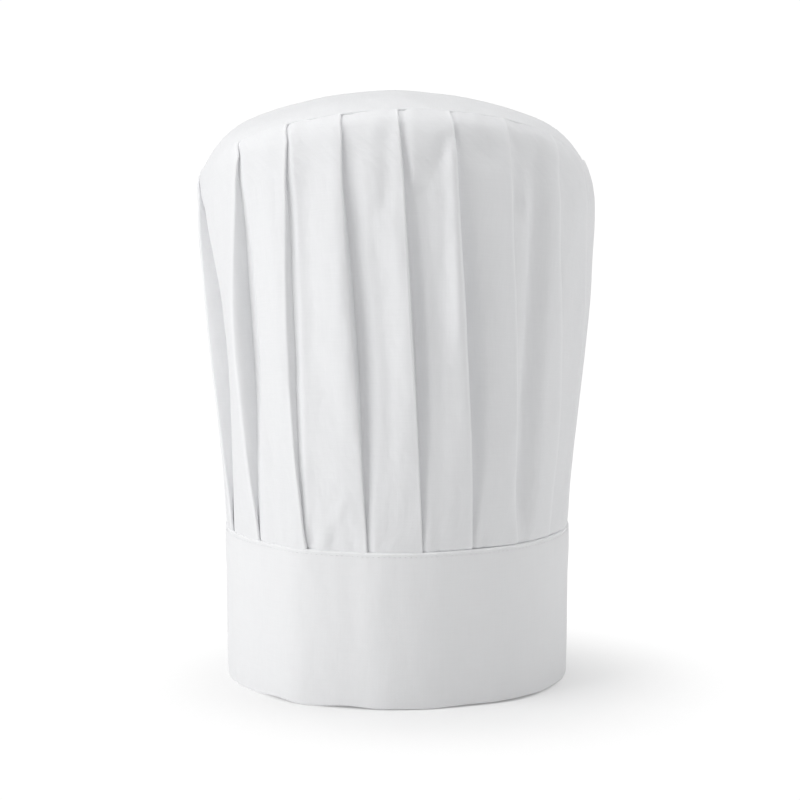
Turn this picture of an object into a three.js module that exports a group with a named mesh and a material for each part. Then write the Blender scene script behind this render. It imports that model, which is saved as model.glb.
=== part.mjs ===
// A tall pleated chef hat in white cotton, standing upright on its headband with its front towards -Y.
// Millimetres, +Z up. The origin is the middle of the headband's foot.
import * as THREE from "three";

// Driving dimensions
const BAND_HEIGHT = 84;
const BAND_WALL = 2.2;
const BAND_EDGE_ROUNDING = 0.7;
const CROWN_WALL = 1.2;
const TOP_WALL = 1.2;
const SEAM_GAP = 0.4;
const SEAM_EDGE = 1.5;
const SEAM_ALLOWANCE = 6;
const TOP_RING_SHARES = [0.2, 0.4, 0.6, 0.76, 0.88, 0.945];
const SLOPE_STEP = 0.5;

// The sewn lap that joins the headband's two ends at the back: one end rises over the other and stops in a step.
const LAP_WIDTH = 34;
const LAP_RISE = 1.4;
const LAP_RAMP_STEPS = 4;

// Knife pleats: each panel of cloth turns back under itself, and the next panel starts beneath the fold. It
// comes out past the fold edge along the fold's floor and rises to its shoulder.
const LAYER_STEP = 2;
const FOLD_DEPTH_AT_SEAMS = 8;
const FOLD_DEPTH_MIDWAY = 6;
const FOLD_FLOOR = 2;
const FOLD_FLOOR_SINK = 0.9;
const SHOULDER_AT_SEAMS = 7;
const SHOULDER_MIDWAY = 11;
const SHOULDER_SINK = 0.8;
const FULLNESS_POWER = 0.7;

const BAND_SEGMENTS = 96;
const TOP_SEGMENTS = 72;

const CLOTH = { color: 0xeef0f3, roughness: 0.85, metalness: 0 };

// Half widths of the headband's outside, across (side) and from front to back (front), from its foot up.
const BAND_SECTIONS = [
  { height: 0, side: 95.0, front: 96.8 },
  { height: 22, side: 95.4, front: 97.0 },
  { height: 54, side: 95.5, front: 97.1 },
  { height: 72, side: 96.0, front: 97.6 },
  { height: 84, side: 95.8, front: 97.4 },
];

// Half widths of the crown over its fold edges. The share runs from 0 at the headband's top edge to 1 at the
// seam with the top panel. Below 0 the crown is tucked inside the headband.
const CROWN_SECTIONS = [
  { share: -0.04, side: 92.7, front: 94.3 },
  { share: 0.003, side: 92.7, front: 94.3 },
  { share: 0.01, side: 95.4, front: 97.2 },
  { share: 0.1, side: 96.5, front: 98.5 },
  { share: 0.22, side: 98.8, front: 100.8 },
  { share: 0.38, side: 101.9, front: 103.6 },
  { share: 0.55, side: 105.0, front: 106.4 },
  { share: 0.72, side: 107.3, front: 108.6 },
  { share: 0.86, side: 108.7, front: 109.5 },
  { share: 0.94, side: 108.2, front: 107.4 },
  { share: 0.98, side: 106.6, front: 103.4 },
  { share: 1, side: 104.8, front: 98.0 },
];

// Heights of the top panel over its middle line (ridge) and of its seam (rim), by distance from the hat's
// middle plane: the seam is high at front and back and dips at the sides.
const TOP_SECTIONS = [
  { across: 0, ridge: 322.2, rim: 313.5 },
  { across: 27, ridge: 320.0, rim: 311.8 },
  { across: 54, ridge: 314.8, rim: 307.5 },
  { across: 70, ridge: 310.2, rim: 302.8 },
  { across: 80, ridge: 306.4, rim: 298.6 },
  { across: 88, ridge: 301.8, rim: 294.3 },
  { across: 96, ridge: 294.6, rim: 288.4 },
  { across: 104.8, ridge: 282.9, rim: 281.0 },
];

// Azimuths of the fold edges in degrees, from the front (0) round the +X side, at the headband, midway up
// and at the rim, how deep each fold stands open midway up, and how far the panel after it sags in.
const PLEATS = [
  { band: -70.5, midway: -81.0, rim: -77.5, open: 9.5, sag: 0.3 },
  { band: -52.5, midway: -58.3, rim: -50.8, open: 9.5, sag: 0.3 },
  { band: -30.1, midway: -33.4, rim: -32.2, open: 8.0, sag: 1.5 },
  { band: -9.6, midway: -13.6, rim: -16.4, open: 8.5, sag: 0.6 },
  { band: 7.7, midway: 3.5, rim: 0.2, open: 8.5, sag: 1.2 },
  { band: 24.6, midway: 19.8, rim: 15.9, open: 8.0, sag: 0.8 },
  { band: 42.5, midway: 37.2, rim: 33.0, open: 6.5, sag: 1.4 },
  { band: 60.0, midway: 56.2, rim: 53.0, open: 6.0, sag: 1.0 },
  { band: 77.5, midway: 74.5, rim: 71.0, open: 6.5, sag: 0.4 },
  { band: 96.0, midway: 92.0, rim: 89.5, open: 7.5, sag: 1.0 },
  { band: 113.5, midway: 109.0, rim: 106.5, open: 8.5, sag: 0.5 },
  { band: 131.0, midway: 127.0, rim: 124.0, open: 7.0, sag: 1.3 },
  { band: 149.0, midway: 144.0, rim: 141.0, open: 8.5, sag: 0.5 },
  { band: 166.5, midway: 161.5, rim: 159.5, open: 7.5, sag: 1.1 },
  { band: 184.0, midway: 178.5, rim: 176.5, open: 9.0, sag: 0.4 },
  { band: 202.0, midway: 195.5, rim: 194.0, open: 8.0, sag: 1.4 },
  { band: 219.5, midway: 213.0, rim: 212.0, open: 7.0, sag: 0.6 },
  { band: 236.5, midway: 229.0, rim: 230.0, open: 9.0, sag: 0.9 },
  { band: 254.5, midway: 246.5, rim: 247.5, open: 8.0, sag: 1.2 },
  { band: 272.0, midway: 263.0, rim: 265.0, open: 8.5, sag: 0.5 },
];

// A smooth curve through a column of a table whose rows are sorted by the key column. It never overshoots.
function curveThrough(rows, key, column) {
  const x = rows.map((row) => row[key]);
  const y = rows.map((row) => row[column]);
  const last = x.length - 1;
  const rise = x.slice(1).map((end, i) => (y[i + 1] - y[i]) / (end - x[i]));
  const slope = x.map((_, i) => {
    if (i === 0) return rise[0];
    if (i === last) return rise[last - 1];
    if (rise[i - 1] * rise[i] <= 0) return 0;
    return (2 * rise[i - 1] * rise[i]) / (rise[i - 1] + rise[i]);
  });
  return (at) => {
    const value = Math.min(Math.max(at, x[0]), x[last]);
    let i = 0;
    while (i < last - 1 && value > x[i + 1]) i += 1;
    const span = x[i + 1] - x[i];
    const t = (value - x[i]) / span;
    const back = 1 - t;
    return (
      back * back * (1 + 2 * t) * y[i] +
      t * t * (3 - 2 * t) * y[i + 1] +
      t * back * (back * slope[i] - t * slope[i + 1]) * span
    );
  };
}

const crownSide = curveThrough(CROWN_SECTIONS, "share", "side");
const crownFront = curveThrough(CROWN_SECTIONS, "share", "front");
const topSections = [{ ...TOP_SECTIONS[1], across: -TOP_SECTIONS[1].across }, ...TOP_SECTIONS];
const ridgeHeight = curveThrough(topSections, "across", "ridge");
const seamHeight = curveThrough(topSections, "across", "rim");

// Distance from the axis to an oval with the given half widths, at an azimuth in radians.
function ovalRadius(azimuth, side, front) {
  return 1 / Math.hypot(Math.sin(azimuth) / side, Math.cos(azimuth) / front);
}

function pointAt(azimuth, radius, height) {
  return new THREE.Vector3(radius * Math.sin(azimuth), -radius * Math.cos(azimuth), height);
}

// Height of the seam between crown and top panel.
function rimHeight(azimuth) {
  const radius = ovalRadius(azimuth, crownSide(1), crownFront(1));
  return seamHeight(Math.abs(radius * Math.sin(azimuth)));
}

// A closed mesh over rings of points that all run the same way round, seen from above. Each ring joins the
// next, and the last joins the first unless the two ends are closed by poles.
function skin(rings, poles) {
  const count = rings[0].length;
  const positions = rings.flat().flatMap((p) => [p.x, p.y, p.z]);
  const faces = [];
  const bands = poles ? rings.length - 1 : rings.length;
  for (let i = 0; i < bands; i += 1) {
    const low = i * count;
    const high = ((i + 1) % rings.length) * count;
    for (let j = 0; j < count; j += 1) {
      const next = (j + 1) % count;
      faces.push(low + j, low + next, high + next);
      faces.push(low + j, high + next, high + j);
    }
  }
  if (poles) {
    const first = rings.length * count;
    const lastRing = (rings.length - 1) * count;
    positions.push(...poles.first.toArray(), ...poles.last.toArray());
    for (let j = 0; j < count; j += 1) {
      const next = (j + 1) % count;
      faces.push(first, next, j);
      faces.push(lastRing + j, lastRing + next, first + 1);
    }
  }
  const geometry = new THREE.BufferGeometry();
  geometry.setAttribute("position", new THREE.Float32BufferAttribute(positions, 3));
  geometry.setIndex(faces);
  geometry.computeVertexNormals();
  return geometry;
}

// Plan of the headband: azimuths all round with how far the cloth stands out there. The lap rises along a
// ramp and ends in a step at the middle of the back.
function bandPlan() {
  const lapAngle = LAP_WIDTH / BAND_SECTIONS[0].front;
  const plan = [];
  for (let i = 0; i < BAND_SEGMENTS; i += 1) {
    plan.push({ azimuth: -Math.PI + (i / BAND_SEGMENTS) * (2 * Math.PI - lapAngle), out: 0 });
  }
  for (let i = 0; i <= LAP_RAMP_STEPS; i += 1) {
    const t = i / LAP_RAMP_STEPS;
    plan.push({ azimuth: Math.PI - lapAngle * (1 - t), out: LAP_RISE * Math.min(1, 2 * t) });
  }
  return plan;
}

// The headband: a deep folded strip of stiff cloth, sewn into a ring, flat at its foot.
function bandGeometry() {
  const plan = bandPlan();
  const side = curveThrough(BAND_SECTIONS, "height", "side");
  const front = curveThrough(BAND_SECTIONS, "height", "front");
  const ring = (height, inset) =>
    plan.map(({ azimuth, out }) => {
      const radius = ovalRadius(azimuth, side(height), front(height));
      return pointAt(azimuth, radius - inset + (inset < BAND_WALL / 2 ? out : 0), height);
    });
  const heights = BAND_SECTIONS.map(({ height }) => Math.min(height, BAND_HEIGHT - BAND_EDGE_ROUNDING));
  const outside = heights.map((height) => ring(height, 0));
  const edge = [ring(BAND_HEIGHT, BAND_EDGE_ROUNDING), ring(BAND_HEIGHT, BAND_WALL - BAND_EDGE_ROUNDING)];
  const inside = heights.map((height) => ring(height, BAND_WALL)).reverse();
  return skin([...outside, ...edge, ...inside]);
}

const mix = (from, to, share) => from + (to - from) * share;

// How far open the pleats are: 0 at the seams above and below, 1 midway.
function fullness(share) {
  return Math.sin(Math.PI * Math.min(Math.max(share, 0), 1)) ** FULLNESS_POWER;
}

// Azimuth of a fold edge: a smooth curve through its three places.
function foldAzimuth(pleat, share) {
  const t = Math.min(Math.max(share, 0), 1);
  const degrees =
    pleat.band * (1 - t) * (1 - 2 * t) + pleat.midway * 4 * t * (1 - t) + pleat.rim * t * (2 * t - 1);
  return THREE.MathUtils.degToRad(degrees);
}

// Middle line of the crown's cloth at one level: every pleat is a face that runs to its fold edge, a return
// beneath it, and a second turn from which the next face starts.
function crownMiddleLine(share) {
  const open = fullness(share);
  const side = crownSide(share) - CROWN_WALL / 2;
  const front = crownFront(share) - CROWN_WALL / 2;
  const meanRadius = (side + front) / 2;
  const depth = mix(FOLD_DEPTH_AT_SEAMS, FOLD_DEPTH_MIDWAY, open);
  const shoulder = mix(SHOULDER_AT_SEAMS, SHOULDER_MIDWAY, open);
  return PLEATS.flatMap((pleat, i) => {
    const next = PLEATS[(i + 1) % PLEATS.length];
    const turn = i + 1 === PLEATS.length ? 2 * Math.PI : 0;
    const edge = foldAzimuth(pleat, share);
    const panel = foldAzimuth(next, share) + turn - edge;
    const sink = mix(2 * LAYER_STEP, pleat.open, open);
    const places = [
      { along: 0, inward: 0 },
      { along: 0, inward: LAYER_STEP },
      { along: -depth, inward: sink - LAYER_STEP },
      { along: -depth, inward: sink },
      { along: FOLD_FLOOR, inward: sink * FOLD_FLOOR_SINK },
      { along: shoulder, inward: SHOULDER_SINK },
      { along: (panel * meanRadius + shoulder) / 2, inward: pleat.sag * open },
    ];
    return places.map(({ along, inward }) => {
      const azimuth = edge + along / meanRadius;
      return { azimuth, radius: ovalRadius(azimuth, side, front) - inward };
    });
  });
}

// Moves each point of a closed line sideways, to the outside for a positive distance, with mitred corners.
function offsetLine(line, distance) {
  const flat = line.map(({ azimuth, radius }) => pointAt(azimuth, radius, 0));
  const normals = flat.map((point, i) => {
    const along = flat[(i + 1) % flat.length].clone().sub(point).normalize();
    return new THREE.Vector3(along.y, -along.x, 0);
  });
  return flat.map((point, i) => {
    const before = normals[(i + flat.length - 1) % flat.length];
    const mitre = before.clone().add(normals[i]);
    const stretch = 2 / Math.max(mitre.lengthSq(), 1);
    return point.clone().addScaledVector(mitre, stretch * distance);
  });
}

// The crown: a tall pleated tube of cloth, tucked inside the headband and open at both ends.
function crownGeometry() {
  const outside = [];
  const inside = [];
  for (const { share } of CROWN_SECTIONS) {
    const line = crownMiddleLine(share);
    const lift = (point, i) => {
      point.z = mix(BAND_HEIGHT, rimHeight(line[i].azimuth), share);
      return point;
    };
    outside.push(offsetLine(line, CROWN_WALL / 2).map(lift));
    inside.unshift(offsetLine(line, -CROWN_WALL / 2).map(lift));
  }
  return skin([...outside, ...inside]);
}

// Height of the top panel's upper face, which sags from its middle line to its edge at front and back.
function topHeight(x, y) {
  const across = Math.abs(x);
  const reach = crownFront(1) * Math.sqrt(Math.max(1 - (x / crownSide(1)) ** 2, 0));
  const fall = reach > 0 ? Math.min((y / reach) ** 2, 1) : 1;
  return mix(ridgeHeight(across), seamHeight(across) + SEAM_GAP + SEAM_EDGE, fall);
}

// The top panel: a domed oval of cloth whose turned edge lies on the crown's pleats.
function topPanelGeometry() {
  const azimuths = Array.from({ length: TOP_SEGMENTS }, (_, i) => (i / TOP_SEGMENTS) * 2 * Math.PI);
  const reach = (azimuth) => ovalRadius(azimuth, crownSide(1), crownFront(1));
  const dome = (share, thickness) =>
    azimuths.map((azimuth) => {
      const point = pointAt(azimuth, reach(azimuth) * share, 0);
      const { x, y } = point;
      const height = topHeight(x, y);
      const slopeX = (height - topHeight(x - Math.sign(x) * SLOPE_STEP, y)) / SLOPE_STEP;
      const slopeY = (height - topHeight(x, y - Math.sign(y) * SLOPE_STEP)) / SLOPE_STEP;
      point.z = height - thickness * Math.hypot(1, slopeX, slopeY);
      return point;
    });
  const seam = (inset, lift) =>
    azimuths.map((azimuth) => pointAt(azimuth, reach(azimuth) - inset, rimHeight(azimuth) + SEAM_GAP + lift));
  const rings = [
    ...TOP_RING_SHARES.map((share) => dome(share, TOP_WALL)),
    seam(SEAM_ALLOWANCE, 0),
    seam(0, 0),
    seam(0, SEAM_EDGE),
    ...TOP_RING_SHARES.map((share) => dome(share, 0)).reverse(),
  ];
  const peak = topHeight(0, 0);
  return skin(rings, {
    first: new THREE.Vector3(0, 0, peak - TOP_WALL),
    last: new THREE.Vector3(0, 0, peak),
  });
}

function clothPiece(name, geometry) {
  const piece = new THREE.Mesh(geometry, new THREE.MeshStandardMaterial(CLOTH));
  piece.name = name;
  return piece;
}

const hat = new THREE.Group();
hat.add(clothPiece("band", bandGeometry()));
hat.add(clothPiece("crown", crownGeometry()));
hat.add(clothPiece("top_panel", topPanelGeometry()));

export default hat;
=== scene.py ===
"""Looks of a white cotton chef hat: pleated crown, stitched headband and domed top panel."""

import math
from types import SimpleNamespace

import bpy
import numpy as np
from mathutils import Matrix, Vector


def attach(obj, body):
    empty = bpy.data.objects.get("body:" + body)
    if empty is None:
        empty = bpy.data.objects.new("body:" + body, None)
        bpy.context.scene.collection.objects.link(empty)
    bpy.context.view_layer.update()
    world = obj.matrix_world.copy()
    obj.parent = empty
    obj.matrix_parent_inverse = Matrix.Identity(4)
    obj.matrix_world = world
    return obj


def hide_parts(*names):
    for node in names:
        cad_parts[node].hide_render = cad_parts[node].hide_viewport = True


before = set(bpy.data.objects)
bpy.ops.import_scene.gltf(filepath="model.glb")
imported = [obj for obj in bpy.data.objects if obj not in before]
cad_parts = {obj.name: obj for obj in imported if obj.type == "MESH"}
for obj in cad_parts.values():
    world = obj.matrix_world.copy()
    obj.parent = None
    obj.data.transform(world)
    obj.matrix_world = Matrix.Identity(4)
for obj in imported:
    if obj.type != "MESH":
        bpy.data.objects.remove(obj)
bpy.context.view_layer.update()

# Lengths are in millimetres in the tables and sums below, and become metres when a mesh is made.
MM = 0.001

# Driving dimensions, the same as those of the construction. The headband's end laps over at the back: it
# rises on a ramp over the lap's width and ends in a step.
BAND_HEIGHT = 84
BAND_WALL = 2.2
LAP_WIDTH = 34
LAP_RISE = 1.4
LAP_STEP = 0.9
LAP_RAMP = 1.3

# Mean radii of the headband's outside and of the crown, and the crown's height between its seams
BAND_RADIUS = 97
CROWN_RADIUS = 103
CROWN_HEIGHT = 215

# Half widths of the headband's outside, across (side) and from front to back (front), from its foot up
BAND_SECTIONS = {
    "height": [0, 22, 54, 72, 84],
    "side": [95.0, 95.4, 95.5, 96.0, 95.8],
    "front": [96.8, 97.0, 97.1, 97.6, 97.4],
}

# Half widths of the crown over its fold edges; the share runs from the headband's top edge to the rim
CROWN_SECTIONS = {
    "share": [-0.04, -0.006, 0.003, 0.01, 0.03, 0.1, 0.22, 0.38, 0.55, 0.72, 0.86, 0.94, 0.98, 1],
    "side": [92.7, 94.8, 95.2, 95.3, 95.6, 96.5, 98.8, 101.9, 105.0, 107.3, 108.7, 108.2, 106.6, 104.8],
    "front": [94.3, 96.4, 96.8, 96.9, 97.3, 98.5, 100.8, 103.6, 106.4, 108.6, 109.5, 107.4, 103.4, 98.0],
}

# Heights of the top panel's middle line (ridge) and of its seam (rim), by distance from the middle plane
TOP_SECTIONS = {
    "across": [-27, 0, 27, 54, 70, 80, 88, 96, 104.8],
    "ridge": [320.0, 322.2, 320.0, 314.8, 310.2, 306.4, 301.8, 294.6, 282.9],
    "rim": [311.8, 313.5, 311.8, 307.5, 302.8, 298.6, 294.3, 288.4, 281.0],
}

# Shares at which the fold edges' azimuths are given below
FOLD_SHARES = [0, 0.25, 0.5, 0.87, 0.95, 1]

# One row for each knife pleat: the azimuths of its fold edge in degrees, at the shares above. Then, midway:
# how deep the fold stands open, how far its cloth turns back under the edge (tuck), how far the next
# panel's shoulder lies past the edge (mouth), the same at the rim (rim), how far it lies below the edge
# (low), how far that panel sags, and how far the cloth before the edge stands out and rolls over (roll).
PLEAT_SHAPE = ("open", "tuck", "mouth", "rim", "low", "sag", "roll")
PLEATS = [
    (-70.5, -75.4, -77.4, -78.0, -84.0, -87.0, 10, -3, 16.5, 1, 5.2, 0, 0.3),
    (-50.8, -54.4, -55.6, -50.4, -49.6, -52.8, 9.4, -4.6, 14.6, 0.8, 5.6, 0, 0.5),
    (-29.3, -32.2, -33.0, -31.4, -31.6, -34.2, 4.8, -1.6, 7.8, 2.8, 2, 0.2, 0.4),
    (-9.4, -11.1, -13.0, -15.0, -15.4, -16.8, 8.5, -1, 13, 6.5, 4.8, 0, 0.8),
    (7.9, 6.1, 3.9, 1.5, 0.7, 0.2, 9, -1.5, 12, 2.8, 5.4, 0, 0.2),
    (24.6, 22.6, 19.9, 16.3, 16.1, 16.0, 10.5, -1, 13.6, 3.6, 5.2, 0, 0.6),
    (42.2, 39.7, 36.7, 33.2, 33.6, 34.0, 2.6, 5, 0.2, 0.2, 1.9, 0, 0.1),
    (59.6, 60.8, 57.0, 52.4, 53.7, 54.5, 2.6, 5, 0.2, 0.2, 1.9, 0, 0.2),
    (77.5, 76.8, 74.5, 71.0, 71.6, 72.0, 6.5, 5, 9, 2.8, 2.4, 0.3, 0.4),
    (96.0, 94.2, 92.0, 89.5, 90.1, 90.5, 7.5, 3, 12, 2.8, 3.8, 0.2, 0.6),
    (113.5, 111.4, 109.0, 106.2, 107.0, 107.5, 8.5, 0, 14, 2.8, 4.6, 0, 0.8),
    (131.0, 129.4, 127.0, 124.0, 124.6, 125.0, 5, 4, 8, 2.8, 2.4, 0.5, 0.4),
    (149.0, 146.8, 144.0, 141.0, 141.6, 142.0, 8.5, 2, 13, 2.8, 4.4, 0, 0.9),
    (166.5, 164.6, 161.5, 159.5, 159.8, 160.0, 6.5, 4, 10, 2.8, 3, 0.3, 0.3),
    (184.0, 181.6, 178.5, 176.0, 176.6, 177.0, 9, 1, 14, 2.8, 4.8, 0, 0.7),
    (202.0, 199.2, 195.5, 193.5, 194.1, 194.5, 7, 4, 10, 2.8, 3.2, 0.3, 0.5),
    (219.5, 216.8, 213.0, 211.5, 212.1, 212.5, 4, 5, 6, 2.8, 1.8, 0.4, 0.3),
    (236.5, 233.4, 229.0, 229.5, 230.1, 230.5, 9, -2, 15, 2.8, 4.8, 0, 0.9),
    (254.5, 251.4, 246.5, 246.0, 246.9, 247.5, 8, 3, 11, 2.8, 3.6, 0.3, 0.4),
    (272.0, 268.0, 262.5, 261.5, 261.8, 262.0, 8.5, 0, 12, 2.8, 3.8, 0.2, 0.4),
]

# Soft valleys that run up the panels: azimuths in degrees at their lower and upper ends, the shares where
# those ends lie, their half width and their depth, below 0 for a ridge. Each fades at both ends, over the
# same part of its length.
VALLEYS = [
    SimpleNamespace(foot=-24.4, head=-24.8, low=-0.03, high=1.02, width=8.5, depth=1.8),
    SimpleNamespace(foot=-2.6, head=-2.6, low=0.76, high=0.99, width=4.5, depth=1.0),
    SimpleNamespace(foot=5.5, head=16.6, low=0.80, high=0.975, width=4.4, depth=1.5),
    SimpleNamespace(foot=2.8, head=1.9, low=0.82, high=1.08, width=2.2, depth=0.9),
    SimpleNamespace(foot=4.8, head=3.8, low=0.84, high=1.05, width=1.5, depth=-0.6),
    SimpleNamespace(foot=17.6, head=14.4, low=0.45, high=1.0, width=3.2, depth=-2.4),
    SimpleNamespace(foot=-29.0, head=-28.0, low=-0.02, high=0.45, width=11.0, depth=-1.3),
    SimpleNamespace(foot=-26.0, head=-14.0, low=-0.01, high=0.14, width=2.4, depth=-1.0),
    SimpleNamespace(foot=44.0, head=43.8, low=-0.03, high=0.97, width=6.4, depth=5.9),
    SimpleNamespace(foot=36.0, head=34.9, low=0.76, high=1.0, width=2.2, depth=3.4),
    SimpleNamespace(foot=-10.5, head=-13.0, low=0.70, high=1.0, width=5.0, depth=0.9),
    SimpleNamespace(foot=-46.0, head=-43.0, low=0.30, high=0.96, width=5.0, depth=0.4),
    SimpleNamespace(foot=65.0, head=66.0, low=0.20, high=0.90, width=4.0, depth=0.6),
    SimpleNamespace(foot=51.0, head=47.0, low=0.27, high=0.42, width=2.0, depth=-0.6),
    SimpleNamespace(foot=59.0, head=55.0, low=0.80, high=0.95, width=1.8, depth=0.7),
]
VALLEY_END = 0.18

# Soft hollows of the panels just below the rim: azimuth in degrees, share, half width, half height, depth
HOLLOWS = [
    SimpleNamespace(azimuth=26.0, share=0.925, width=11, height=9, depth=3.3),
    SimpleNamespace(azimuth=39.0, share=0.905, width=5.5, height=14, depth=3.4),
    SimpleNamespace(azimuth=44.5, share=0.92, width=6, height=12, depth=3.2),
    SimpleNamespace(azimuth=7.0, share=0.925, width=7, height=10, depth=-1.1),
    SimpleNamespace(azimuth=-9.0, share=0.92, width=8, height=10, depth=0.8),
    SimpleNamespace(azimuth=-21.0, share=0.90, width=9, height=24, depth=1.4),
    SimpleNamespace(azimuth=118.0, share=0.93, width=10, height=10, depth=1.5),
    SimpleNamespace(azimuth=170.0, share=0.93, width=9, height=10, depth=1.5),
    SimpleNamespace(azimuth=238.0, share=0.93, width=11, height=9, depth=1.5),
]

# Short puckers that rise from the headband's top edge: azimuth in degrees, length, half width and depth.
# They are deepest a little above the edge and then fade.
PUCKERS = [
    SimpleNamespace(azimuth=-61.0, length=14, width=2.0, depth=0.9),
    SimpleNamespace(azimuth=-42.0, length=18, width=2.0, depth=1.2),
    SimpleNamespace(azimuth=-27.4, length=28, width=2.8, depth=2.4),
    SimpleNamespace(azimuth=-19.6, length=18, width=2.4, depth=1.2),
    SimpleNamespace(azimuth=-14.2, length=12, width=2.6, depth=1.5),
    SimpleNamespace(azimuth=-5.2, length=22, width=2.2, depth=1.2),
    SimpleNamespace(azimuth=1.8, length=14, width=2.0, depth=0.9),
    SimpleNamespace(azimuth=13.4, length=20, width=2.4, depth=1.5),
    SimpleNamespace(azimuth=17.0, length=12, width=1.8, depth=0.9),
    SimpleNamespace(azimuth=29.0, length=16, width=2.4, depth=1.7),
    SimpleNamespace(azimuth=51.0, length=18, width=2.4, depth=0.9),
]
PUCKER_FADE = 1.6
PUCKER_START = 5

# Where the crown draws back behind the headband's top edge, within a short reach of it: azimuth in degrees,
# half width and depth
DRAWN_BACK = [
    SimpleNamespace(azimuth=30, width=32, depth=1.3),
    SimpleNamespace(azimuth=60, width=22, depth=0.9),
    SimpleNamespace(azimuth=135, width=40, depth=1.0),
    SimpleNamespace(azimuth=235, width=30, depth=1.0),
]
DRAWN_BACK_REACH = 0.85

# Where the headband's foot lifts a little off the floor: azimuth in degrees, half width and height
FOOT_LIFTS = [
    SimpleNamespace(azimuth=-41, width=13, height=1.3),
    SimpleNamespace(azimuth=-16, width=14, height=1.4),
    SimpleNamespace(azimuth=2, width=12, height=0.6),
    SimpleNamespace(azimuth=22, width=18, height=1.0),
    SimpleNamespace(azimuth=43, width=20, height=1.4),
    SimpleNamespace(azimuth=62, width=13, height=0.9),
    SimpleNamespace(azimuth=110, width=30, height=0.3),
    SimpleNamespace(azimuth=165, width=25, height=0.35),
    SimpleNamespace(azimuth=230, width=35, height=0.3),
]

# Where the headband's lower part spreads outward: azimuth in degrees, half width and how far at the foot.
# The spread ends at a height.
FOOT_SPREADS = [
    SimpleNamespace(azimuth=44, width=34, out=2.3),
    SimpleNamespace(azimuth=-34, width=16, out=0.8),
    SimpleNamespace(azimuth=140, width=30, out=0.9),
]
SPREAD_HEIGHT = 48

# Broad vertical waves of the headband: azimuth in degrees, half width and height outward. They go on in the
# crown and fade there.
BAND_WAVES = [
    SimpleNamespace(azimuth=-66, width=20, height=0.3),
    SimpleNamespace(azimuth=-33, width=14, height=1.6),
    SimpleNamespace(azimuth=-14, width=9, height=-0.55),
    SimpleNamespace(azimuth=-5, width=8, height=0.3),
    SimpleNamespace(azimuth=22, width=17, height=-1.1),
    SimpleNamespace(azimuth=40, width=11, height=0.5),
    SimpleNamespace(azimuth=52, width=18, height=0.3),
    SimpleNamespace(azimuth=104, width=18, height=-0.5),
    SimpleNamespace(azimuth=150, width=16, height=0.5),
    SimpleNamespace(azimuth=218, width=20, height=-0.5),
    SimpleNamespace(azimuth=251, width=14, height=0.5),
]
WAVE_REACH = 22

# Unevenness of the cloth: its size, the numbers of its waves round the hat, how fast they drift as they go
# up, in radians for each millimetre, and the seed of their phases
BAND_RIPPLES = [
    SimpleNamespace(size=0.15, waves=(3, 5, 8, 13), drift=0.012, seed=31),
    SimpleNamespace(size=0.06, waves=(21, 34, 47), drift=0.03, seed=37),
]
CROWN_RIPPLES = [
    SimpleNamespace(size=0.20, waves=(17, 26, 34, 45), drift=0.016, seed=11),
    SimpleNamespace(size=0.09, waves=(52, 71, 90), drift=0.05, seed=23),
]
SEAM_RIPPLE = SimpleNamespace(size=0.22, waves=(61, 83, 97, 118, 139), drift=0.04, seed=5)
TOP_RIPPLE = SimpleNamespace(size=0.55, waves=(2, 3, 5, 7), drift=0.03, seed=3)
TOP_GATHERS = SimpleNamespace(size=0.18, waves=(31, 44, 58, 75), drift=0.05, seed=8)

# How far from the headband's edge and from the rim the crown's small gathers reach
GATHERS_ABOVE_BAND = 9
GATHERS_BELOW_RIM = 8

# The headband's wall from its foot up: height, part of the foot's lift that is added to it, and how far the
# outer and the inner face draw in there. Both edges are rounded, and the stitch line draws both faces in.
STITCH_DENT = 0.22
BAND_OUTLINE = [
    (0, 0.85, 1.1, 0.4),
    (0, 0.93, 0.9, 0.2),
    (0, 1, 0.7, 0.1),
    (0.05, 1, 0.4, 0),
    (0.2, 1, 0.15, 0),
    (0.6, 1, 0.03, 0),
    (1.3, 1, 0, 0),
    (4, 0, 0, 0),
    (6.4, 0, 0, 0),
    *[(height, 0, 0, 0) for height in np.linspace(9, 77, 25)],
    (79.8, 0, 0.02, 0.02),
    (80.8, 0, 0.1, 0.1),
    (81.4, 0, STITCH_DENT, STITCH_DENT),
    (82, 0, STITCH_DENT, STITCH_DENT),
    (82.4, 0, 0.08, 0.08),
    (82.8, 0, 0, 0),
    (83.1, 0, 0.06, 0.06),
    (83.45, 0, 0.22, 0.22),
    (83.7, 0, 0.46, 0.46),
    (83.9, 0, 0.78, 0.78),
    (84, 0, 1.1, 1.1),
]
# Height from which the headband's rounded top edge gets the painted highlight, a lighter colour for the
# light it catches
HIGHLIGHT_FROM = 82.9

# How far inside its oval the headband lies, which leaves room for its waves
WAVE_ROOM = 0.3

# Thicknesses of the cloth, and the seam at the rim: how far the crown's cloth turns over, how much the seam
# rises to the right for each millimetre, the allowance inside it, the groove beside it, the rounding of the
# top panel's edge and how far the panel stands over the seam
CROWN_CLOTH = 0.7
TOP_CLOTH = 0.8
SEAM_TURN = 1.0
SEAM_SKEW = 0.022
SEAM_ALLOWANCE = 5.0
SEAM_GROOVE = 0.1
TOP_EDGE = 0.6
TOP_LIFT = 1.9

# The share from which the crown's surface turns inward at its shoulder, and the step for its slope
SHOULDER_SHARE = 0.8
SLOPE_STEP = 0.004

# How far the crown leans to the left near its rim. Each part of the lean grows from a height over a rise.
LEAN = 2.4
LEAN_PARTS = [
    SimpleNamespace(height=200, rise=50, part=0.3),
    SimpleNamespace(height=262, rise=20, part=0.7),
]

# Stitches
STITCH_HEIGHT = 81.7
STITCH_PITCH = 2.8
STITCH_LENGTH = 2.0
THREAD_WIDTH = 0.42
THREAD_SIDES = 6
LAP_STITCH_INSET = 3
LAP_STITCH_FOOT = 5

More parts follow.
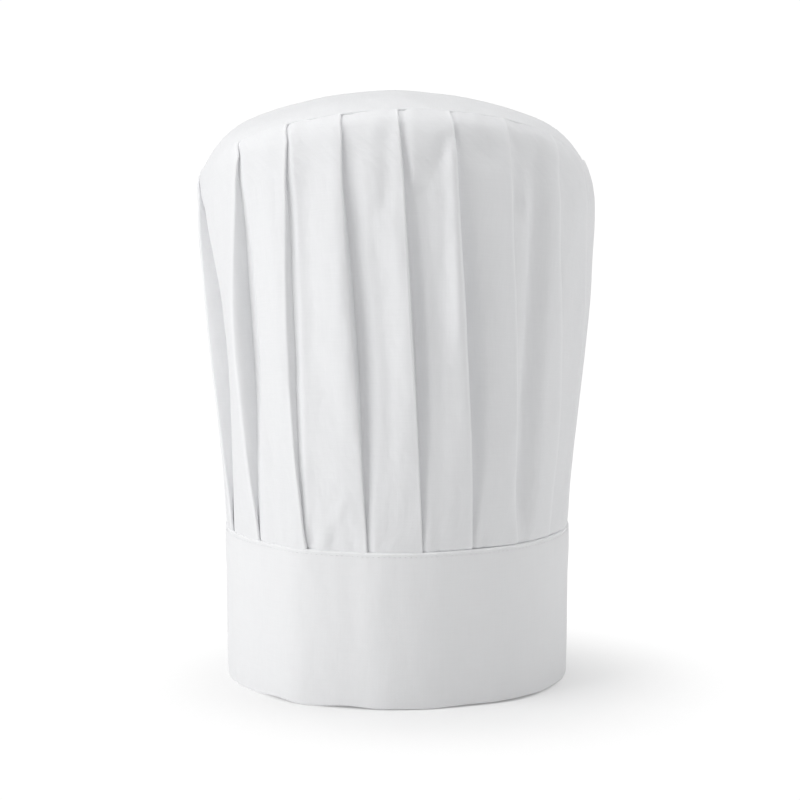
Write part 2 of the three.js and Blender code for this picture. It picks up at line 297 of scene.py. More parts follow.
# Shares of the rows of points of the crown and of the top panel, closer together where the cloth bends most
CROWN_FOOT_SHARES = [-0.04, -0.02, -0.006, -0.002, 0.001, 0.004, 0.007, 0.01, 0.0145, 0.02, 0.028]
CROWN_SHARES = np.concatenate([CROWN_FOOT_SHARES, np.linspace(0.038, 0.92, 58), np.linspace(0.932, 1, 9)])
TOP_SHARES = np.concatenate([np.linspace(0.03, 0.9, 36), np.linspace(0.908, 1, 12)])

# How the cloth turns down into the seam at the rim. For the crown: part of the turn along the surface, a
# step along it and the depth. For the top panel: a step along the surface and the depth.
CROWN_TURN = [(0.45, 0, 0), (1, -0.5, 0), (1, -0.15, 0.12), (1, 0, 0.5), (1, 0, 2), (1, 0, SEAM_ALLOWANCE)]
TOP_TURN = [(-0.35, 0.1), (-0.58, 0.45), (-TOP_EDGE, 1.6), (-TOP_EDGE, SEAM_ALLOWANCE)]

# Colours of the white cotton where its threads lie thinner and elsewhere, in one layer and folded double,
# the painted highlight that lightens its fold edges and the headband's top edge, and colours of the sewing
# thread, the darker one a painted shade between its plies
SINGLE_TONES = (0.807, 0.812, 0.824, 1), (0.83, 0.835, 0.846, 1)
DOUBLE_TONES = (0.832, 0.836, 0.846, 1), (0.852, 0.856, 0.865, 1)
HIGHLIGHT_TONE = (0.93, 0.935, 0.945, 1)
THREAD_TONE = (0.84, 0.845, 0.855, 1)
THREAD_SHADE = (0.76, 0.765, 0.775, 1)
SHEEN = 0.08

# The woven surface, in metres: widths of the threads, heights of the weave, of the slubs and of the thread's
# plies, and how deep the cloth is crumpled. Scales of the noises are in cells for each metre.
PLAIN_THREAD = 0.0003
TWILL_THREAD = 0.0004
WEAVE_HEIGHT = 0.000012
SLUB_HEIGHT = 0.00003
PLY_HEIGHT = 0.00005
SINGLE_CRUMPLE = 0.003
DOUBLE_CRUMPLE = 0.0015
SLUB_SCALES = (60, 1400, 1), (1400, 60, 1)
CRUMPLE_SCALE = (38, 26, 1)
PLY_SCALE = 700

# The folds where they are sewn flat, at the headband and at the rim: the step from layer to layer, and the
# columns of the pleats' shape there. The floor ends short of a narrow mouth.
STEP_AT_BAND = 0.95
STEP_AT_RIM = 0.7
TUCK_AT_SEAMS = 2.5
MOUTH_AT_BAND = 3.4
LOW_AT_SEAMS = 0.5
FLOOR_AT_SEAMS = 0.6
FLOOR_SHORT_OF_MOUTH = 1.6

# How the folds open towards mid-height, and how wide the cloth before an edge rolls over
FULLNESS_POWER = 1.3
ROLL_WIDTH = 4.5

# A fold whose mouth is wider than this goes on beneath the next panel's shoulder, by the reach
UNDERCUT_FROM = 14.5
UNDERCUT_REACH = 2

# Shares of a fold's parts: the depth where its floor ends, its rounded corners, the flare of a fold that
# opens outward and the swelling of its wall
FLOOR_DEPTH = 0.94
CORNER_REACH = 0.45
FLARE = 0.85
WALL_SWELL = 0.3


def mix(low, high, share):
    return low + (high - low) * share


def smooth(t):
    """0 below 0, 1 above 1, and a smooth step between."""
    t = np.clip(t, 0, 1)
    return t * t * (3 - 2 * t)


def curve_through(table, key, column):
    """A smooth curve through a column of a table, as a function of the key. It never overshoots."""
    x = np.array(table[key], float)
    y = np.array(table[column], float)
    rise = np.diff(y) / np.diff(x)
    product = rise[:-1] * rise[1:]
    total = np.where(product > 0, rise[:-1] + rise[1:], 1)
    inner = np.where(product > 0, 2 * product / total, 0)
    slope = np.concatenate([rise[:1], inner, rise[-1:]])

    def curve(at):
        value = np.clip(at, x[0], x[-1])
        i = np.clip(np.searchsorted(x, value) - 1, 0, len(x) - 2)
        span = x[i + 1] - x[i]
        t = (value - x[i]) / span
        back = 1 - t
        ends = back * back * (1 + 2 * t) * y[i] + t * t * (3 - 2 * t) * y[i + 1]
        return ends + t * back * (back * slope[i] - t * slope[i + 1]) * span

    return curve


crown_side = curve_through(CROWN_SECTIONS, "share", "side")
crown_front = curve_through(CROWN_SECTIONS, "share", "front")
ridge_height = curve_through(TOP_SECTIONS, "across", "ridge")
seam_height = curve_through(TOP_SECTIONS, "across", "rim")
band_side = curve_through(BAND_SECTIONS, "height", "side")
band_front = curve_through(BAND_SECTIONS, "height", "front")


def oval_radius(azimuth, side, front):
    """Distance from the axis to an oval with the given half widths."""
    return 1 / np.hypot(np.sin(azimuth) / side, np.cos(azimuth) / front)


def points_at(azimuth, radius, height):
    azimuth, radius, height = np.broadcast_arrays(azimuth, radius, height)
    return np.stack([radius * np.sin(azimuth), -radius * np.cos(azimuth), height], -1)


def unit(vectors):
    return vectors / np.maximum(np.linalg.norm(vectors, axis=-1, keepdims=True), 1e-9)


def turn_between(a, b):
    """The difference of two azimuths, from half a turn back to half a turn on."""
    return (a - b + np.pi) % (2 * np.pi) - np.pi


def ripples(azimuth, height, row):
    """Smooth unevenness from a row of a table of ripples: waves round the hat that drift as they go up."""
    random = np.random.default_rng(row.seed)
    total = 0
    for count in row.waves:
        phase, drift = random.uniform(0, 2 * np.pi), random.normal(0, row.drift)
        beat, start = random.uniform(0.3, 1) * row.drift, random.uniform(0, 2 * np.pi)
        total = total + np.sin(count * azimuth + phase + drift * height) * np.cos(beat * height + start)
    return row.size * (total / math.sqrt(len(row.waves)) * 1.4)


def lean_at(height):
    """How far the crown leans to the left at a height, most of it in its rounded shoulder."""
    return LEAN * sum(row.part * smooth((height - row.height) / row.rise) for row in LEAN_PARTS)


def crown_base(azimuth, share):
    """The crown's smooth surface over its fold edges, and there the direction up along the surface and the
    direction out of it. Each is a pair: radius and height."""

    def at(where):
        radius = oval_radius(azimuth, crown_side(where), crown_front(where))
        rim_radius = oval_radius(azimuth, crown_side(1), crown_front(1))
        across = rim_radius * np.sin(azimuth)
        rim = seam_height(np.abs(across)) + SEAM_SKEW * across
        height = mix(BAND_HEIGHT, rim, where)
        return np.stack(np.broadcast_arrays(radius - lean_at(height) * np.sin(azimuth), height), -1)

    up = unit(at(share) - at(share - SLOPE_STEP))
    turned = smooth((share - SHOULDER_SHARE) / 0.1)[..., None]
    up = unit(up * turned + np.array([0, 1]) * (1 - turned))
    out = np.stack([up[..., 1], -up[..., 0]], -1)
    return at(share), up, out


def fold_azimuths(share):
    """Azimuths of all the fold edges at each share, one column for each pleat."""
    edges = [row[: len(FOLD_SHARES)] for row in PLEATS]
    curves = [curve_through({"share": FOLD_SHARES, "edge": edge}, "share", "edge") for edge in edges]
    return np.radians(np.stack([curve(share) for curve in curves], 1))


def bend(corner, before, after, reach, steps):
    """Points on a rounded corner, from reach before it to reach after it, along the given directions."""
    start = corner - before * reach
    end = corner + after * reach
    t = np.array(steps)[:, None]
    parts = [start[..., None, :] * (1 - t) ** 2, corner[..., None, :] * 2 * t * (1 - t)]
    return sum(parts) + end[..., None, :] * t**2


def straight(start, end, count, crowding=1):
    """Points between two ends, without the ends. A crowding over 1 moves them towards the far end."""
    t = 1 - (1 - (np.arange(count) + 1)[:, None] / (count + 1)) ** crowding
    return start[..., None, :] * (1 - t) + end[..., None, :] * t


# The painted highlight at each of the points that crown_sections puts along a pleat: how much lighter its
# colour is drawn at the fold edge, for the light the edge catches
EDGE_HIGHLIGHTS = [0.4, 0.4, 0.2, *[0] * 24, 0.1, 0.3]


def crown_sections(share):
    """The middle line of the crown's cloth at each share: azimuths, and depths below the smooth surface
    over the fold edges."""
    fullness = np.sin(np.pi * np.clip(share, 0, 1))[:, None] ** FULLNESS_POWER
    mean_radius = ((crown_side(share) + crown_front(share)) / 2)[:, None]
    edges = fold_azimuths(share)
    ahead = np.roll(edges, -1, 1)
    ahead[:, -1] += 2 * np.pi
    panel = (ahead - edges) * mean_radius
    shape = dict(zip(PLEAT_SHAPE, np.array(PLEATS).T[len(FOLD_SHARES) :, None]))
    tuck_midway, mouth_midway = shape["tuck"], shape["mouth"]
    step = mix(STEP_AT_BAND, STEP_AT_RIM, smooth((share - 0.7) / 0.3))[:, None]
    sink = mix(2 * step, shape["open"], fullness)
    tuck = mix(TUCK_AT_SEAMS, tuck_midway, fullness**0.8)
    mouth_at_seams = mix(np.minimum(MOUTH_AT_BAND, mouth_midway), shape["rim"], smooth(share)[:, None])
    mouth = mix(mouth_at_seams, mouth_midway, fullness)
    low = mix(LOW_AT_SEAMS, shape["low"], np.sin(np.pi * np.clip(share, 0, 1) ** 1.2)[:, None])
    gathered = np.maximum(mouth_midway / 2, 1 - tuck_midway)
    undercut = np.where(mouth_midway > UNDERCUT_FROM, mouth_midway + UNDERCUT_REACH, gathered)
    floor_at_seams = np.minimum(FLOOR_AT_SEAMS, shape["rim"] - FLOOR_SHORT_OF_MOUTH)
    floor = mix(floor_at_seams, undercut, fullness)
    bulge = np.clip(-tuck, 0, None) * WALL_SWELL
    step, zero = step + np.zeros_like(panel), np.zeros_like(panel)

    def place(along, depth):
        return np.stack([along, depth], -1)

    opened_up = np.clip(-tuck / 4, 0, 1)
    edge_in = place(opened_up * step, step * (1 - FLARE * opened_up))
    turn_out = place(-tuck, sink - step)
    turn_in = place(-tuck, sink)
    floor_at = place(floor, sink * FLOOR_DEPTH)
    shoulder_at = place(mouth, low)
    forward = place(zero + 1, zero)
    inward = place(zero, zero + 1)
    round_edge = unit(edge_in)
    back = unit(turn_out - edge_in)
    along_floor = unit(floor_at - turn_in)
    up_shoulder = unit(shoulder_at - floor_at)
    half = step[..., None] / 2
    floor_reach = CORNER_REACH * np.linalg.norm(floor_at - turn_in, axis=-1, keepdims=True)
    rise_reach = CORNER_REACH * np.linalg.norm(shoulder_at - floor_at, axis=-1, keepdims=True)
    level = place(mouth + rise_reach[..., 0], low)
    swell = place(zero, bulge)[..., None, :] * np.array([0.75, 1, 0.75])[:, None]
    line = np.concatenate(
        [
            bend(place(zero, zero), forward, round_edge, half, (0, 0.5, 1)),
            bend(edge_in, round_edge, back, half, (0.6,)),
            straight(edge_in + back * half, turn_out - back * half, 3) - swell,
            bend(turn_out, back, inward, half, (0.15, 0.85)),
            bend(turn_in, inward, along_floor, half, (0.15, 0.85)),
            bend(floor_at, along_floor, up_shoulder, np.minimum(floor_reach, rise_reach), (0, 0.5, 1)),
            bend(shoulder_at, up_shoulder, forward, rise_reach, (0, 0.34, 0.67, 1)),
            straight(level, place(panel - half[..., 0], low), 11, 1.6),
        ],
        -2,
    )
    along, depth = line[..., 0], line[..., 1]
    to_go = panel[..., None] - along
    risen = np.clip(1 - to_go / (panel - level[..., 0])[..., None], 0, 1)
    depth = depth - low[..., None] * mix(risen, smooth(risen), 0.6)
    depth = depth + (shape["sag"] * fullness)[..., None] * np.sin(np.pi * risen) ** 2
    stand = np.clip(to_go, 0, None) / ROLL_WIDTH
    roll = np.roll(shape["roll"], -1, 1) * fullness
    depth = depth - roll[..., None] * stand * np.exp(1 - stand) * smooth(risen / 0.3)
    azimuth = edges[..., None] + along / mean_radius[..., None]
    rows = len(share)
    return azimuth.reshape(rows, -1), depth.reshape(rows, -1)


def humps(azimuth, rows, size):
    """The sum of soft humps round the hat, from a table of azimuths, half widths and sizes."""
    total = 0
    for row in rows:
        offset = turn_between(azimuth, np.radians(row.azimuth)) * BAND_RADIUS
        total = total + getattr(row, size) * np.exp(-((offset / row.width) ** 2))
    return total


def band_wave(azimuth, height):
    """How far the headband's cloth waves out and in."""
    wave = sum(ripples(azimuth, height, row) for row in BAND_RIPPLES)
    spread = humps(azimuth, FOOT_SPREADS, "out") * (1 - smooth(height / SPREAD_HEIGHT))
    return wave + spread + humps(azimuth, BAND_WAVES, "height")


def crown_relief(azimuth, share, height):
    """Depth of the creases, puckers and unevenness of the crown's panels."""
    depth = 0
    for valley in VALLEYS:
        t = (share - valley.low) / (valley.high - valley.low)
        line = np.radians(mix(valley.foot, valley.head, t))
        ends = smooth(t / VALLEY_END) * smooth((1 - t) / VALLEY_END)
        offset = turn_between(azimuth, line) * CROWN_RADIUS
        depth = depth + valley.depth * ends * np.exp(-((offset / valley.width) ** 2))
    for hollow in HOLLOWS:
        offset = turn_between(azimuth, np.radians(hollow.azimuth)) * CROWN_RADIUS
        rise = (share - hollow.share) * CROWN_HEIGHT
        distance = (offset / hollow.width) ** 2 + (rise / hollow.height) ** 2
        depth = depth + hollow.depth * np.exp(-distance)
    above = np.clip(height - BAND_HEIGHT, 0, None)
    wave = band_wave(azimuth, np.minimum(height, BAND_HEIGHT))
    depth = depth - wave * np.exp(-((above / WAVE_REACH) ** 2))
    beside_edge = np.exp(-(((height - BAND_HEIGHT) / DRAWN_BACK_REACH) ** 2))
    depth = depth + humps(azimuth, DRAWN_BACK, "depth") * beside_edge
    for pucker in PUCKERS:
        offset = turn_between(azimuth, np.radians(pucker.azimuth)) * CROWN_RADIUS
        fade = np.exp(-PUCKER_FADE * above / pucker.length) * mix(0.3, 1, smooth(above / PUCKER_START))
        depth = depth + pucker.depth * fade * np.exp(-((offset / pucker.width) ** 2))
    below_rim = np.clip((1 - share) * CROWN_HEIGHT, 0, None)
    near_band = np.exp(-above / GATHERS_ABOVE_BAND) * mix(0.2, 1, smooth(above / 6))
    near_rim = 0.8 * np.exp(-below_rim / GATHERS_BELOW_RIM)
    depth = depth + (near_band + near_rim) * ripples(azimuth, height, SEAM_RIPPLE)
    for row in CROWN_RIPPLES:
        depth = depth + ripples(azimuth, height, row)
    return depth


def surface_normals(points):
    """Unit normals of a grid that runs round in its second direction, seen from outside."""
    round_it = np.roll(points, -1, 1) - np.roll(points, 1, 1)
    up = np.gradient(points, axis=0)
    return unit(np.cross(round_it, up))


def row_lengths(points):
    """Distance along each closed row, with the closing step as the last column."""
    steps = np.linalg.norm(np.roll(points, -1, 1) - points, axis=-1)
    return np.concatenate([np.zeros((len(points), 1)), np.cumsum(steps, 1)], 1)


def mesh_object(name, vertices, faces, maps, painted_highlight=None):
    """A smooth mesh object from vertices in millimetres, faces and corner maps, (u, v) for each corner.
    The last argument says for each vertex how much painted highlight its cloth gets, from 0 to 1: a lighter
    colour for the light caught at fold edges."""
    mesh = bpy.data.meshes.new(name)
    mesh.vertices.add(len(vertices))
    mesh.vertices.foreach_set("co", (vertices * MM).astype(np.float32).ravel())
    mesh.loops.add(sum(f.size for f in faces))
    mesh.loops.foreach_set("vertex_index", np.concatenate([f.ravel() for f in faces]).astype(np.int32))
    sizes = np.concatenate([np.full(len(f), f.shape[1]) for f in faces])
    mesh.polygons.add(len(sizes))
    mesh.polygons.foreach_set("loop_start", (np.cumsum(sizes) - sizes).astype(np.int32))
    mesh.update(calc_edges=True)
    mesh.validate()
    for layer, corners in maps.items():
        mesh.uv_layers.new(name=layer).uv.foreach_set("vector", corners.astype(np.float32).ravel())
    if painted_highlight is not None:
        attribute = mesh.attributes.new("painted_highlight", "FLOAT", "POINT")
        attribute.data.foreach_set("value", painted_highlight.astype(np.float32))
    mesh.shade_smooth()
    thing = bpy.data.objects.new(name, mesh)
    bpy.context.scene.collection.objects.link(thing)
    return thing


def ring_shell(name, rings, cloth, flat, painted_highlight):
    """A mesh object over a grid that is closed both ways. cloth holds (u, v) in metres on the cloth and
    flat holds (u, v) on a flat image, each with one column and one row more than the rings."""
    rows, columns = rings.shape[:2]
    i, j = np.meshgrid(np.arange(rows), np.arange(columns), indexing="ij")
    i2, j2 = (i + 1) % rows, (j + 1) % columns
    faces = np.stack([i * columns + j, i * columns + j2, i2 * columns + j2, i2 * columns + j], -1)
    maps = {
        layer: np.stack([grid[i, j], grid[i, j + 1], grid[i + 1, j + 1], grid[i + 1, j]], -2)
        for layer, grid in (("cloth", cloth), ("OFBake", flat))
    }
    painted_highlight = np.broadcast_to(painted_highlight, (rows, columns)).ravel()
    return mesh_object(name, rings.reshape(-1, 3), [faces.reshape(-1, 4)], maps, painted_highlight)


def row_maps(points):
    """For each point of a grid of closed rows, the share of its row and its distance from the first row,
    and the rows' mean length."""
    lengths = row_lengths(points)
    along = lengths / lengths[:, -1:]
    steps = np.linalg.norm(np.diff(points, axis=0, prepend=points[:1]), axis=-1).mean(1)
    return along, np.broadcast_to(np.cumsum(steps)[:, None], along.shape), lengths[:, -1].mean()


def two_sided(name, middle, thickness, painted_highlight):
    """A closed sheet of cloth of the given thickness around a grid of middle points, open at both ends."""
    normal = surface_normals(middle)
    outside = middle + normal * thickness / 2
    inside = middle - normal * thickness / 2
    along, across, girth = row_maps(middle)
    cloth = np.stack([along * girth, across], -1) * MM
    flat = np.stack([0.01 + 0.98 * along, 0.01 + 0.47 * across / across.max()], -1)
    flipped = flat[::-1] * [1, -1] + [0, 1]
    rings = np.concatenate([outside, inside[::-1]])
    return ring_shell(
        name,
        rings,
        np.concatenate([cloth, cloth[::-1], cloth[:1]]),
        np.concatenate([flat, flipped, flipped[-1:]]),
        painted_highlight,
    )


def make_crown():
    azimuth, depth = crown_sections(CROWN_SHARES)
    share = CROWN_SHARES[:, None]
    base, up, out = crown_base(azimuth, share)
    relief = crown_relief(azimuth, share, base[..., 1])
    depth = depth + relief + CROWN_CLOTH / 2
    places = base - out * depth[..., None]
    # The cloth turns down into the seam at the rim, the outer layers farther on than those under them
    depth, base, up, out = depth[-1], base[-1], up[-1], out[-1]
    corner = SEAM_TURN - 0.15 * depth
    rows = [
        base + up * (part * corner + step)[:, None] - out * (depth + down)[:, None]
        for part, step, down in CROWN_TURN
    ]
    places = np.concatenate([places, np.stack(rows)])
    azimuth = np.concatenate([azimuth, np.repeat(azimuth[-1:], len(CROWN_TURN), 0)])
    middle = points_at(azimuth, places[..., 0], places[..., 1])
    # The fold edges get the painted highlight, a lighter colour for the light they catch
    return two_sided("crown_cloth", middle, CROWN_CLOTH, np.tile(EDGE_HIGHLIGHTS, len(PLEATS)))


def top_rings(count):
    """The middle of the top panel's cloth as rings of points, from near its centre to its turned-down edge.
    Also their azimuths and the radii of the rings on the dome."""
    azimuth = np.linspace(0, 2 * np.pi, count, endpoint=False)[None]
    half = TOP_CLOTH / 2
    side, front = CROWN_SECTIONS["side"][-1], CROWN_SECTIONS["front"][-1]
    base, up, out = crown_base(azimuth, np.array([[1.0]]))
    edge = base + up * (SEAM_TURN + SEAM_GROOVE + TOP_EDGE) - out * (half + TOP_EDGE)
    share = TOP_SHARES[:, None]
    radius = edge[..., 0] * share
    x = radius * np.sin(azimuth)
    y = radius * np.cos(azimuth)
    across = np.clip(np.abs(x + LEAN), 0, side)
    reach = front * np.sqrt(np.clip(1 - (across / (side + 0.1)) ** 2, 0.002, 1))
    ridge, rim = ridge_height(across), seam_height(across) + TOP_LIFT
    height = mix(ridge, rim, np.clip((y / reach) ** 2, 0, 1)) - half
    height = height + (edge[..., 1] - height[-1:]) * share**9
    soft = ripples(azimuth, radius, TOP_RIPPLE) * share
    height = height + soft * smooth(share / 0.3) * (1 - share**6)
    gathers = ripples(azimuth, radius, TOP_GATHERS)
    height = height + gathers * smooth((share - 0.86) / 0.1) * (1 - share**60)
    places = np.stack([radius, height], -1)
    places = np.concatenate([places, *(edge + up * step - out * down for step, down in TOP_TURN)])
    return azimuth, radius, points_at(azimuth, places[..., 0], places[..., 1])


def make_top():
    count = 240
    half = TOP_CLOTH / 2
    azimuth, radius, rings = top_rings(count)
    normal = surface_normals(rings)
    outside, inside = rings - normal * half, rings + normal * half
    meridian = np.linalg.norm(np.diff(rings, axis=0), axis=-1).mean(1)
    lengths = np.concatenate([[0], np.cumsum(meridian)])[:, None] + radius[0].mean()
    spread = np.stack([lengths * np.sin(azimuth), -lengths * np.cos(azimuth)], -1).reshape(-1, 2)
    poles = [outside[0].mean(0), inside[0].mean(0)]
    vertices = np.concatenate([outside.reshape(-1, 3), inside.reshape(-1, 3), poles])
    spread = np.concatenate([spread, spread, np.zeros((2, 2))])
    # Faces of the upper and the lower side, of the edge between them and of a fan round each centre
    last = len(rings) - 1
    i, j = np.meshgrid(np.arange(last), np.arange(count), indexing="ij")
    j2 = (j + 1) % count
    upper = np.stack([(i + 1) * count + j, (i + 1) * count + j2, i * count + j2, i * count + j], -1)
    upper = upper.reshape(-1, 4)
    below = (last + 1) * count
    k = np.arange(count)
    k2 = (k + 1) % count
    edge_k, edge_k2 = last * count + k, last * count + k2
    skirt = np.stack([below + edge_k, below + edge_k2, edge_k2, edge_k], -1)
    fan_up = np.stack([np.full(count, 2 * below), k, k2], -1)
    fan_down = np.stack([np.full(count, 2 * below + 1), below + k2, below + k], -1)
    faces = [upper, upper[:, ::-1] + below, skirt, fan_up, fan_down]
    corners = np.concatenate([spread[f].reshape(-1, 2) for f in faces])
    under = np.concatenate([np.full(f.size, side) for f, side in zip(faces, (0, 1, 0, 0, 1))])
    scaled = corners / (np.abs(corners).max() * 2.04)
    flat = np.stack([0.25 + 0.5 * under + 0.5 * scaled[:, 0], 0.5 + scaled[:, 1]], -1)
    return mesh_object("top_cloth", vertices, faces, {"cloth": corners * MM, "OFBake": flat})


def band_radius(azimuth, height):
    """Outside of the headband: its oval, the raised lap at the back and the waviness of the cloth."""
    radius = oval_radius(azimuth, band_side(height), band_front(height))
    behind = turn_between(azimuth, np.pi) * BAND_RADIUS
    ramp = smooth(LAP_RAMP * (behind / LAP_WIDTH + 1))
    rise = np.where(behind <= 0, ramp, 1 - smooth(behind / LAP_STEP))
    return radius + rise * LAP_RISE + band_wave(azimuth, height) - WAVE_ROOM


def make_band():
    # Columns of points evenly round the headband, and more of them across the step at the end of its lap
    lap_step = np.pi + np.array([1, 3, 5, 7, 11]) * 0.0018
    azimuth = np.sort(np.concatenate([np.linspace(0, 2 * np.pi, 360, endpoint=False), lap_step]))[None]
    level, risen, outer_dent, inner_dent = np.array(BAND_OUTLINE).T[..., None]
    height = level + risen * humps(azimuth, FOOT_LIFTS, "height")
    outer = band_radius(azimuth, height) - outer_dent
    inner = band_radius(azimuth, height) - BAND_WALL + inner_dent
    rings = points_at(
        azimuth, np.concatenate([outer, inner[::-1]]), np.concatenate([height, height[::-1]])
    )
    along, across, girth = row_maps(rings)
    along = np.concatenate([along, along[:1]])
    across = np.concatenate([across, across[-1:] + 0.3])
    cloth = np.stack([along * girth, across], -1) * MM
    flat = np.stack([0.01 + 0.98 * along, 0.01 + 0.98 * across / across.max()], -1)
    # The headband's top edge gets the painted highlight, a lighter colour for the light it catches
    painted_highlight = smooth((np.concatenate([level, level[::-1]]) - HIGHLIGHT_FROM) / 0.5)
    return ring_shell("band_cloth", rings, cloth, flat, painted_highlight)


def stitch_row(name, line, out):
    """A row of stitches. line holds five points along each one, and out is the direction away from the
    cloth."""
    side = np.cross(out, unit(line[:, -1] - line[:, 0]))
    turn = np.linspace(0, 2 * np.pi, THREAD_SIDES, endpoint=False)
    size = THREAD_WIDTH / 2 * np.array([0.45, 0.9, 1, 0.9, 0.45])
    lift = np.array([-0.25, 0.02, 0.08, 0.02, -0.25])
    centre = line + out[:, None] * lift[:, None]
    round_it = np.cos(turn)[:, None] * side[:, None] + np.sin(turn)[:, None] * out[:, None]
    points = centre[:, :, None] + size[:, None, None] * round_it[:, None]
    around = THREAD_SIDES
    last = (len(size) - 1) * around
    first = np.arange(len(line))[:, None, None] * len(size) * around
    i, j = np.meshgrid(np.arange(0, last, around), np.arange(around), indexing="ij")
    j2 = (j + 1) % around
    sides = np.stack([i + j, i + around + j, i + around + j2, i + j2], -1).reshape(-1, 4) + first
    ends = np.stack([np.arange(around), last + np.arange(around)[::-1]]) + first
    faces = [sides.reshape(-1, 4), ends.reshape(-1, around)]
    return mesh_object(name, points.reshape(-1, 3), faces, {})


def make_stitching():
    """The row of stitches below the headband's top edge and the one that closes the lap at the back."""
    radius = 96.5
    count = round(2 * math.pi * radius / STITCH_PITCH)
    reach = STITCH_LENGTH / 2 * np.linspace(-1, 1, 5)
    azimuth = (np.arange(count) + 0.5)[:, None] * (2 * np.pi / count) + reach / radius
    level = np.full_like(azimuth, STITCH_HEIGHT)
    heights = np.arange(LAP_STITCH_FOOT, STITCH_HEIGHT - 2, STITCH_PITCH)[:, None] + reach
    behind = np.full_like(heights, np.pi - LAP_STITCH_INSET / BAND_RADIUS)
    azimuth, level = np.concatenate([azimuth, behind]), np.concatenate([level, heights])
    dent = np.where(level == STITCH_HEIGHT, STITCH_DENT, 0)
    line = points_at(azimuth, band_radius(azimuth, level) - dent, level)
    out = points_at(azimuth[:, 2], 1.0, 0.0)
    return stitch_row("band_stitching", line, out)


def node_maker(material):
    """A function that adds a node to a material and returns it. Its inputs are values or other sockets."""
    nodes, links = material.node_tree.nodes, material.node_tree.links

    def add(kind, inputs, **settings):
        node = nodes.new(kind)
        for key, value in settings.items():
            setattr(node, key, value)
        for key, value in inputs.items():
            if isinstance(value, bpy.types.NodeSocket):
                links.new(value, node.inputs[key])
            else:
                node.inputs[key].default_value = value
        return node

    return add


def cotton(name, thread, twill, tones, crumpled):
    """Matte white cotton, woven plain or as a twill with slanting ribs, from threads of the given width in
    metres, crumpled to the given depth in metres. It carries a painted highlight: a lighter colour along the
    fold edges and the headband's top edge, for the light they catch."""
    material = bpy.data.materials.new(name)
    material.use_nodes = True
    links = material.node_tree.links
    add = node_maker(material)

    def sine(value):
        angle = add("ShaderNodeMath", {0: value, 1: math.pi / thread}, operation="MULTIPLY")
        return add("ShaderNodeMath", {0: angle.outputs[0]}, operation="SINE").outputs[0]

    def noise(scale, detail):
        stretched = add("ShaderNodeVectorMath", {0: place, 1: scale}, operation="MULTIPLY")
        texture = add("ShaderNodeTexNoise", {"Vector": stretched.outputs[0], "Scale": 1, "Detail": detail})
        return texture.outputs["Fac"]

    place = add("ShaderNodeUVMap", {}, uv_map="cloth").outputs["UV"]
    split = add("ShaderNodeSeparateXYZ", {0: place})
    u, v = split.outputs["X"], split.outputs["Y"]
    if twill:
        weave = sine(add("ShaderNodeMath", {0: u, 1: v}, operation="ADD").outputs[0])
    else:
        weave = add("ShaderNodeMath", {0: sine(u), 1: sine(v)}, operation="MULTIPLY").outputs[0]
    across, along = (noise(scale, 1) for scale in SLUB_SCALES)
    slubs = add("ShaderNodeMath", {0: across, 1: along}, operation="ADD").outputs[0]
    normal = add("ShaderNodeBump", {"Height": noise(CRUMPLE_SCALE, 3), "Distance": crumpled, "Strength": 1})
    for relief, height in (slubs, SLUB_HEIGHT), (weave, WEAVE_HEIGHT):
        below = normal.outputs[0]
        normal = add("ShaderNodeBump", {"Height": relief, "Distance": height, "Normal": below})
    uneven = add("ShaderNodeMapRange", {"Value": slubs, "From Min": 0.6, "From Max": 1.4})
    thin, plain = tones
    tone = add("ShaderNodeMix", {"Factor": uneven.outputs[0], "A": thin, "B": plain}, data_type="RGBA")
    # Painted highlight: the colour turns lighter at the fold edges and the headband's top edge, for light
    # caught there
    edge = add("ShaderNodeAttribute", {}, attribute_name="painted_highlight")
    tone = add(
        "ShaderNodeMix",
        {"Factor": edge.outputs["Fac"], "A": tone.outputs["Result"], "B": HIGHLIGHT_TONE},
        data_type="RGBA",
    )
    rough = add("ShaderNodeMapRange", {"Value": slubs, "To Min": 0.9, "To Max": 0.8})
    shader = material.node_tree.nodes["Principled BSDF"]
    shader.inputs["Sheen Weight"].default_value = SHEEN
    shader.inputs["Sheen Roughness"].default_value = 0.45
    links.new(tone.outputs["Result"], shader.inputs["Base Color"])
    links.new(rough.outputs[0], shader.inputs["Roughness"])
    links.new(normal.outputs[0], shader.inputs["Normal"])
    return material


def sewing_thread():
    """Twisted white sewing thread, with a painted shade that darkens the grooves between its plies."""
    material = bpy.data.materials.new("sewing_thread")
    material.use_nodes = True
    links = material.node_tree.links
    add = node_maker(material)
    place = add("ShaderNodeTexCoord", {})
    ply = add(
        "ShaderNodeTexWave",
        {"Vector": place.outputs["Object"], "Scale": PLY_SCALE},
        bands_direction="DIAGONAL",
    )
    bump = add("ShaderNodeBump", {"Height": ply.outputs["Fac"], "Distance": PLY_HEIGHT})
    # Painted shade: the thread's colour darkens where the ply bump is low, in the grooves between its plies
    tone = add(
        "ShaderNodeMix",
        {"Factor": ply.outputs["Fac"], "A": THREAD_SHADE, "B": THREAD_TONE},
        data_type="RGBA",
    )
    shader = material.node_tree.nodes["Principled BSDF"]
    shader.inputs["Roughness"].default_value = 0.6
    shader.inputs["Sheen Weight"].default_value = SHEEN
    links.new(tone.outputs["Result"], shader.inputs["Base Color"])
    links.new(bump.outputs[0], shader.inputs["Normal"])
    return material


# Camera: fitted to the outline of the headband and crown as seen from the front
CAMERA_DISTANCE = 1.4
CAMERA_HEIGHT = 0.3379
CAMERA_ASIDE = 0.0016
CAMERA_DOWN = 7.58
CAMERA_LENS = 114.6


def make_camera():
    data = bpy.data.cameras.new("camera")
    data.sensor_width = 36
    data.lens = CAMERA_LENS
    camera = bpy.data.objects.new("camera", data)
    camera.location = (CAMERA_ASIDE, -CAMERA_DISTANCE, CAMERA_HEIGHT)
    camera.rotation_euler = (math.radians(90 - CAMERA_DOWN), 0, 0)
    bpy.context.scene.collection.objects.link(camera)
    bpy.context.scene.camera = camera
